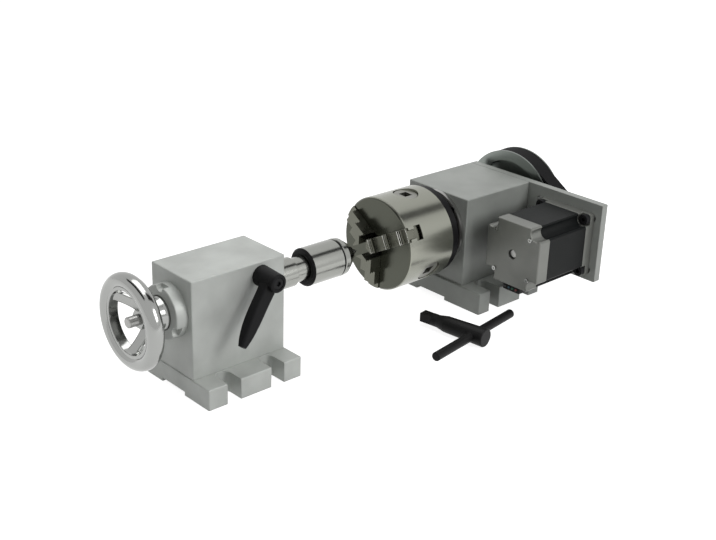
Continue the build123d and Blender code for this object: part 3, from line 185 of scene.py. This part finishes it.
def turnedSteel(name, look):
    # rings left by the tool round the piece's own X axis, over a fine grain
    mat, shader, tree = newFinish(name, look["colour"], look["rough"], metal=1.0)
    mottle(tree, shader, "Roughness", look["rough"], turnedLook)
    coord = tree.nodes.new("ShaderNodeTexCoord")
    x, y, z = xyzParts(tree, coord.outputs["Object"])
    radius = valueStep(tree, "SQRT", valueStep(tree, "MULTIPLY_ADD", z, z, valueStep(tree, "MULTIPLY", y, y)))
    rings = tree.nodes.new("ShaderNodeTexNoise")
    rings.noise_dimensions = "1D"
    rings.inputs["Scale"].default_value = 1.0
    rings.inputs["Detail"].default_value = turnedLook["ringDetail"]
    tree.links.new(valueStep(tree, "MULTIPLY", valueStep(tree, "ADD", radius, x), 1 / look["pitch"]),
                   rings.inputs["W"])
    grain = bumpStep(tree, noiseStep(tree, turnedLook["grain"], turnedLook["grainDetail"]),
                     look["depth"] * turnedLook["grainShare"])
    tree.links.new(bumpStep(tree, rings.outputs["Fac"], look["depth"], grain), shader.inputs["Normal"])
    return mat


def paintedFaceShade(mat, side, face):
    # painted shade: the flat front of the chuck gets a darker copy of the steel colour of its turned side
    tree = mat.node_tree
    coord = tree.nodes.new("ShaderNodeTexCoord")
    front = valueStep(tree, "LESS_THAN", xyzParts(tree, coord.outputs["Object"])[0], face["edge"])
    colour = colourStep(tree, front, (*side, 1), (*face["colour"], 1))
    tree.links.new(colour, tree.nodes["Principled BSDF"].inputs["Base Color"])


def groundSteel(name, look):
    mat, shader, tree = newFinish(name, look["colour"], look["rough"], metal=1.0)
    mottle(tree, shader, "Roughness", look["rough"], groundLook)
    grainBump(tree, shader, look["grain"], groundLook["grainDepth"])
    return mat


chuckFinish = turnedSteel("turnedChuck", steelLook["chuck"])
paintedFaceShade(chuckFinish, steelLook["chuck"]["colour"], steelLook["face"])
quillFinish = turnedSteel("polishedQuill", steelLook["quill"])
plainFinish = turnedSteel("plainSteel", steelLook["plain"])
jawFinish = groundSteel("groundJaws", steelLook["jaw"])
pinionFinish = groundSteel("hardenedPinion", steelLook["pinion"])

# Fine teeth cut across the upright faces of the jaws' steps, drawn as painted highlights on the lands and
# painted shade in the grooves, on darker steel
jawTeeth = {"pitch": 0.0019, "land": 0.42, "start": 0.008, "front": 0.0002, "side": 0.6,
            "paintedHighlight": (0.72, 0.72, 0.68), "paintedGrooveShade": (0.06, 0.062, 0.05)}


def paintedToothLight(mat, steel):
    tree = mat.node_tree
    coord = tree.nodes.new("ShaderNodeTexCoord")
    place, normal = coord.outputs["Object"], coord.outputs["Normal"]
    alongAxis = xyzParts(tree, place)[0]
    fromAxis = vectorStep(tree, "MULTIPLY", place, (0, 1, 1))
    sideways = vectorStep(tree, "CROSS_PRODUCT", vectorStep(tree, "NORMALIZE", fromAxis), (1, 0, 0))

    def turnedFrom(amount):
        # 1 on the faces that don't look that way
        return valueStep(tree, "LESS_THAN", valueStep(tree, "ABSOLUTE", amount), jawTeeth["side"])

    notSide = turnedFrom(vectorStep(tree, "DOT_PRODUCT", sideways, normal))
    notFlat = turnedFrom(xyzParts(tree, normal)[0])
    onStep = valueStep(tree, "MULTIPLY", notSide, notFlat)
    inFront = valueStep(tree, "LESS_THAN", alongAxis, jawTeeth["front"])
    pastTip = valueStep(tree, "GREATER_THAN", vectorStep(tree, "LENGTH", fromAxis), jawTeeth["start"])
    cut = valueStep(tree, "MULTIPLY", valueStep(tree, "MULTIPLY", onStep, inFront), pastTip)
    share = valueStep(tree, "FRACT", valueStep(tree, "DIVIDE", alongAxis, jawTeeth["pitch"]))
    land = valueStep(tree, "LESS_THAN", share, jawTeeth["land"])
    # painted highlight on each tooth land, painted shade in the groove next to it
    toothLightAndShade = colourStep(tree, land, (*jawTeeth["paintedGrooveShade"], 1), (*jawTeeth["paintedHighlight"], 1))
    whole = colourStep(tree, cut, (*steel, 1), toothLightAndShade)
    tree.links.new(whole, tree.nodes["Principled BSDF"].inputs["Base Color"])


paintedToothLight(jawFinish, steelLook["jaw"]["colour"])

# Chrome of the handwheel and bright plated small parts
chromeLook = {
    "wheel": {"rough": 0.13, "waveDepth": 0.00002},
    "screws": {"rough": 0.2, "waveDepth": 0.00001},
    "colour": (0.33, 0.335, 0.325), "wave": 0.006, "waveDetail": 2.0,
}


def chromePlate(name, look):
    mat, shader, tree = newFinish(name, chromeLook["colour"], look["rough"], metal=1.0)
    grainBump(tree, shader, chromeLook["wave"], look["waveDepth"], chromeLook["waveDetail"])
    return mat


wheelFinish = chromePlate("chromeWheel", chromeLook["wheel"])
platedFinish = chromePlate("platedScrews", chromeLook["screws"])

# Dark parts: black oxide, lacquer, plastic and rubber
darkLook = {
    "adapter": {"colour": (0.005, 0.005, 0.0055), "rough": 0.42, "metal": 0.0, "grain": 0.0006},
    "keySteel": {"colour": (0.009, 0.009, 0.009), "rough": 0.42, "metal": 0.0, "grain": 0.0008},
    "screws": {"colour": (0.014, 0.014, 0.015), "rough": 0.42, "metal": 0.0, "grain": 0.0006},
    "lever": {"colour": (0.005, 0.005, 0.0055), "rough": 0.5, "metal": 0.0, "grain": 0.0005},
    "belt": {"colour": (0.008, 0.008, 0.0085), "rough": 0.75, "metal": 0.0, "grain": 0.0004},
    "seal": {"colour": (0.006, 0.006, 0.0065), "rough": 0.5, "metal": 0.0, "grain": 0.0006},
    "plug": {"colour": (0.014, 0.014, 0.014), "rough": 0.5, "metal": 0.0, "grain": 0.0006},
    "rotor": {"colour": (0.2, 0.2, 0.21), "rough": 0.5, "metal": 0.8, "grain": 0.0005},
}
darkSkin = {"shine": 0.12, "cloud": 0.02, "spread": (0.8, 1.25), "grainDepth": 0.00003}


def darkFinish(name, look):
    mat, shader, tree = newFinish(name, look["colour"], look["rough"], look["metal"], darkSkin["shine"])
    mottle(tree, shader, "Base Color", look["colour"], darkSkin)
    grainBump(tree, shader, look["grain"], darkSkin["grainDepth"])
    return mat


darkMats = {key: darkFinish("dark" + key[0].upper() + key[1:], look) for key, look in darkLook.items()}

# Motor stack: thin plates edge to edge under black lacquer, and its cast caps
stackLook = {
    "colour": (0.006, 0.007, 0.007), "rough": 0.45, "shine": 0.1,
    "sheet": 0.0011, "depth": 0.00005, "waver": 0.3, "detail": 2.0,
    "waveLength": 0.314,  # how far apart the wave texture's bands lie at a scale of 1
}
capLook = {"colour": (0.19, 0.195, 0.18), "rough": 0.36, "metal": 0.5}


def lacqueredStack():
    look = stackLook
    mat, shader, tree = newFinish("lacqueredStack", look["colour"], look["rough"], shine=look["shine"])
    coord = tree.nodes.new("ShaderNodeTexCoord")
    sheets = tree.nodes.new("ShaderNodeTexWave")
    sheets.wave_type = "BANDS"
    sheets.bands_direction = "X"
    sheets.inputs["Scale"].default_value = look["waveLength"] / look["sheet"]
    sheets.inputs["Distortion"].default_value = look["waver"]
    sheets.inputs["Detail"].default_value = look["detail"]
    tree.links.new(coord.outputs["Object"], sheets.inputs["Vector"])
    tree.links.new(bumpStep(tree, sheets.outputs["Fac"], look["depth"]), shader.inputs["Normal"])
    return mat


stackFinish = lacqueredStack()
capFinish = blastedAluminium("castCaps", capLook)

# Turned aluminium of the pulleys, and bronze
pulleyLook = {"colour": (0.21, 0.23, 0.215), "rough": 0.3, "pitch": 0.0005, "depth": 0.00002}
pulleyFinish = turnedSteel("turnedPulley", pulleyLook)
bronzeLook = {"colour": (0.50, 0.33, 0.13), "rough": 0.35, "grain": 0.0005}
bronzeFinish = groundSteel("bronze", bronzeLook)
print("finishes mixed")

# Which finish goes on which piece
coats = {
    shadedHeadFinish: ["head_base", "head_body", "motor_plate"],
    tailFinish: ["tail_base", "tail_body", "notched_ring"],
    chuckFinish: ["chuck_body", "chuck_back_cover"],
    jawFinish: ["jaw_1", "jaw_2", "jaw_3"],
    pinionFinish: ["pinion_1", "pinion_2", "pinion_3", "scroll_plate"],
    quillFinish: ["quill", "centre_housing", "centre_cap", "centre_point"],
    plainFinish: ["spindle", "bearing_cover", "spindle_inner_races", "spindle_outer_races",
                  "bearing_spacers", "motor_shaft", "motor_bearings", "centre_bearings", "clamp_screw",
                  "quill_key", "lead_screw"],
    wheelFinish: ["handwheel"],
    platedFinish: ["motor_tie_screws", "wheel_nut"],
    capFinish: ["motor_flange", "motor_end_cap"],
    stackFinish: ["motor_stack"],
    pulleyFinish: ["drive_pulley", "motor_pulley"],
    bronzeFinish: ["quill_nut", "clamp_cotters"],
    darkMats["adapter"]: ["chuck_adapter"],
    darkMats["keySteel"]: ["chuck_key", "key_bar"],
    darkMats["screws"]: ["head_base_screws", "plate_screws", "motor_screws", "motor_nuts", "cover_screws",
                         "nose_screws", "chuck_screws", "back_cover_screws", "tail_base_screws",
                         "spindle_nut", "lever_cap_screw"],
    darkMats["lever"]: ["clamp_lever"],
    darkMats["belt"]: ["drive_belt"],
    darkMats["seal"]: ["centre_rear_ring", "centre_seal"],
    darkMats["plug"]: ["lead_connector"],
    darkMats["rotor"]: ["motor_rotor"],
}
for finish, names in coats.items():
    for nodeName in names:
        mesh = nodes[nodeName].data
        mesh.materials.clear()
        mesh.materials.append(finish)
uncoated = sorted(set(nodes) - {nodeName for names in coats.values() for nodeName in names})
print("pieces coated, left bare:", uncoated)


# Small threads that the solids leave plain, in millimetres; start and end are the gaps left bare
threadLook = {
    "pitch": 1.25, "tube": 0.32, "steps": 24,
    "stud": {"radius": 3.85, "start": 0.8, "end": 0.2},
    "motor": {"radius": 2.35, "start": 0.2, "end": 0.3, "square": 47.14},
}


def screwThread(name, look, start, end, centre, body, finish):
    # a fine ridge wound round a line along X through centre (y, z), as one smooth curve
    first = start + look["start"]
    last = end - look["end"]
    count = int((last - first) / threadLook["pitch"] * threadLook["steps"])
    curve = bpy.data.curves.new(name, "CURVE")
    curve.dimensions = "3D"
    curve.bevel_depth = threadLook["tube"] * mm
    curve.bevel_resolution = 1
    run = curve.splines.new("POLY")
    run.points.add(count)
    for i in range(count + 1):
        turn = i / threadLook["steps"] * 2 * math.pi
        x = first + (last - first) * i / count
        y = centre[0] + look["radius"] * math.cos(turn)
        z = centre[1] + look["radius"] * math.sin(turn)
        run.points[i].co = (x * mm, y * mm, z * mm, 1)
    piece = bpy.data.objects.new(name, curve)
    bpy.context.scene.collection.objects.link(piece)
    curve.materials.append(finish)
    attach(piece, body)


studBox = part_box("lead_screw")
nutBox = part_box("wheel_nut")
screwThread("studThread", threadLook["stud"], studBox[0].x / mm, nutBox[0].x / mm, (0, 0),
            "handwheel", plainFinish)

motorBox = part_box("motor_flange")
motorMid = ((motorBox[0].y + motorBox[1].y) / 2 / mm, (motorBox[0].z + motorBox[1].z) / 2 / mm)
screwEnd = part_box("motor_screws")[1].x / mm
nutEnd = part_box("motor_nuts")[1].x / mm
boltHalf = threadLook["motor"]["square"] / 2  # a screw in each corner of this square
for row, sideY in enumerate((-boltHalf, boltHalf)):
    for column, sideZ in enumerate((-boltHalf, boltHalf)):
        screwThread(f"motorThread{row}{column}", threadLook["motor"], nutEnd, screwEnd,
                    (motorMid[0] + sideY, motorMid[1] + sideZ), "frame", darkMats["screws"])
print("threads wound")


# Seals where the motor's leads enter their connector, in millimetres but for the grain
sealLook = {
    "radius": 0.95, "length": 1.1, "spacing": 3.9, "sides": 24,
    "colours": ((0.16, 0.015, 0.015), (0.01, 0.09, 0.05), (0.01, 0.06, 0.09), (0.01, 0.01, 0.01)),
    "rough": 0.5, "grain": 0.0005, "grainDepth": 0.00002,
}


def leadSeals():
    low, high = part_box("lead_connector")
    middleY = (low.y + high.y) / 2
    middleZ = (low.z + high.z) / 2
    middleSeal = (len(sealLook["colours"]) - 1) / 2
    for i, colour in enumerate(sealLook["colours"]):
        mat, shader, tree = newFinish(f"leadSeal{i}", colour, sealLook["rough"])
        grainBump(tree, shader, sealLook["grain"], sealLook["grainDepth"])
        bpy.ops.mesh.primitive_cylinder_add(vertices=sealLook["sides"], radius=sealLook["radius"] * mm,
                                            depth=sealLook["length"] * 2 * mm, rotation=(0, math.pi / 2, 0))
        seal = bpy.context.object
        seal.name = f"leadSeal{i}"
        seal.location = (low.x, middleY + (i - middleSeal) * sealLook["spacing"] * mm, middleZ)
        seal.data.materials.append(mat)
        for face in seal.data.polygons:
            face.use_smooth = len(face.vertices) == 4  # the round side, not the two flat ends
        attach(seal, "frame")


leadSeals()
print("lead seals set")


# Floor, room and lamps, in metres
roomLook = {"floor": (0.55, 0.55, 0.55), "floorRough": 0.9, "floorSize": 6.0, "floorGap": 0.0002,
            "floorWhite": 0.88, "room": 0.2, "roomWhite": 1.0}
flagLook = {"far": {"place": (0.5, -0.24, 0.66), "size": (1.1, 0.26)},
            "near": {"place": (-0.6, 0.2, 0.7), "size": (0.28, 1.0)}}
flagCloth = {"colour": (0.01, 0.01, 0.01), "rough": 0.9}
lampLook = {"top": {"place": (0.0, 0.15, 1.1), "aim": (0, 0, 0), "size": 0.9, "power": 6.4},
            "side": {"place": (0.25, -1.0, 0.5), "aim": (0, 0, 0), "size": 0.5, "power": 5.6}}


def shownRays(tree):
    # 1 where the white background is seen: straight, in a mirror or through glass
    path = tree.nodes.new("ShaderNodeLightPath")
    straight = valueStep(tree, "MAXIMUM", path.outputs["Is Camera Ray"], path.outputs["Is Transmission Ray"])
    return valueStep(tree, "MAXIMUM", straight, path.outputs["Is Glossy Ray"])


def whiteFloor():
    bpy.ops.mesh.primitive_plane_add(size=roomLook["floorSize"])
    floor = bpy.context.object
    floor.name = "floor"
    floor.location = (0, 0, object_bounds()[0][2] - roomLook["floorGap"])
    mat, shader, tree = newFinish("floorPaper", roomLook["floor"], roomLook["floorRough"])
    glow = tree.nodes.new("ShaderNodeEmission")
    level = valueStep(tree, "MULTIPLY", shownRays(tree), roomLook["floorWhite"])
    both = tree.nodes.new("ShaderNodeAddShader")
    tree.links.new(level, glow.inputs["Strength"])
    tree.links.new(shader.outputs["BSDF"], both.inputs[0])
    tree.links.new(glow.outputs["Emission"], both.inputs[1])
    tree.links.new(both.outputs["Shader"], tree.nodes["Material Output"].inputs["Surface"])
    floor.data.materials.append(mat)


def plainRoom():
    world = bpy.data.worlds.new("room")
    world.use_nodes = True
    bpy.context.scene.world = world
    tree = world.node_tree
    tree.nodes.clear()
    out = tree.nodes.new("ShaderNodeOutputWorld")
    mix = tree.nodes.new("ShaderNodeMixShader")
    tree.links.new(shownRays(tree), mix.inputs["Fac"])
    for socket, strength in zip(mix.inputs[1:], (roomLook["room"], roomLook["roomWhite"])):
        background = tree.nodes.new("ShaderNodeBackground")
        background.inputs["Color"].default_value = (1, 1, 1, 1)
        background.inputs["Strength"].default_value = strength
        tree.links.new(background.outputs["Background"], socket)
    tree.links.new(mix.outputs["Shader"], out.inputs["Surface"])


def studioFlag(name, look):
    # a dark card overhead, which only shines back in the bright metal
    bpy.ops.mesh.primitive_plane_add(size=1, location=look["place"])
    card = bpy.context.object
    card.name = name
    card.scale = (*look["size"], 1)
    card.visible_camera = False
    card.visible_diffuse = False
    card.visible_shadow = False
    card.data.materials.append(newFinish("flagCloth", flagCloth["colour"], flagCloth["rough"])[0])


def softLamp(name, look):
    lamp = bpy.data.lights.new(name, "AREA")
    lamp.shape = "RECTANGLE"
    lamp.size, lamp.size_y = (look["size"], look["size"])
    lamp.energy = look["power"]
    holder = bpy.data.objects.new(name, lamp)
    holder.location = look["place"]
    holder.rotation_euler = (Vector(look["aim"]) - Vector(look["place"])).to_track_quat("-Z", "Y").to_euler()
    bpy.context.scene.collection.objects.link(holder)


whiteFloor()
plainRoom()
for flagName, flag in flagLook.items():
    studioFlag(flagName + "Flag", flag)
for lampName, lamp in lampLook.items():
    softLamp(lampName + "Lamp", lamp)
print("room lit")


# Camera at the photograph's angle: millimetres and degrees, the focal length and picture in pixels
cameraLook = {"aim": (-24.06, -3.63, -16.0), "azimuth": -43.24, "elevation": 23.10, "roll": 1.916,
              "distance": 980.3, "focal": 1186.6, "pictureWide": 716, "sensor": 36.0, "nearest": 10.0}


def photoCamera():
    look = cameraLook
    azimuth, elevation, roll = (math.radians(look[key]) for key in ("azimuth", "elevation", "roll"))
    forward = Vector((-math.sin(azimuth) * math.cos(elevation), math.cos(azimuth) * math.cos(elevation),
                      -math.sin(elevation)))
    right = Vector((math.cos(azimuth), math.sin(azimuth), 0))
    up = right.cross(forward)
    tiltedRight = right * math.cos(roll) + up * math.sin(roll)
    tiltedUp = up * math.cos(roll) - right * math.sin(roll)
    camera = bpy.data.objects.new("camera", bpy.data.cameras.new("camera"))
    camera.data.sensor_width = look["sensor"]
    camera.data.lens = look["focal"] * look["sensor"] / look["pictureWide"]
    camera.data.clip_start = look["nearest"] * mm
    place = (Vector(look["aim"]) - forward * look["distance"]) * mm
    camera.matrix_world = Matrix((
        (tiltedRight.x, tiltedUp.x, -forward.x, place.x),
        (tiltedRight.y, tiltedUp.y, -forward.y, place.y),
        (tiltedRight.z, tiltedUp.z, -forward.z, place.z),
        (0, 0, 0, 1)))
    bpy.context.scene.collection.objects.link(camera)
    bpy.context.scene.camera = camera


photoCamera()
bpy.context.scene.view_settings.view_transform = "Standard"
print("camera placed")
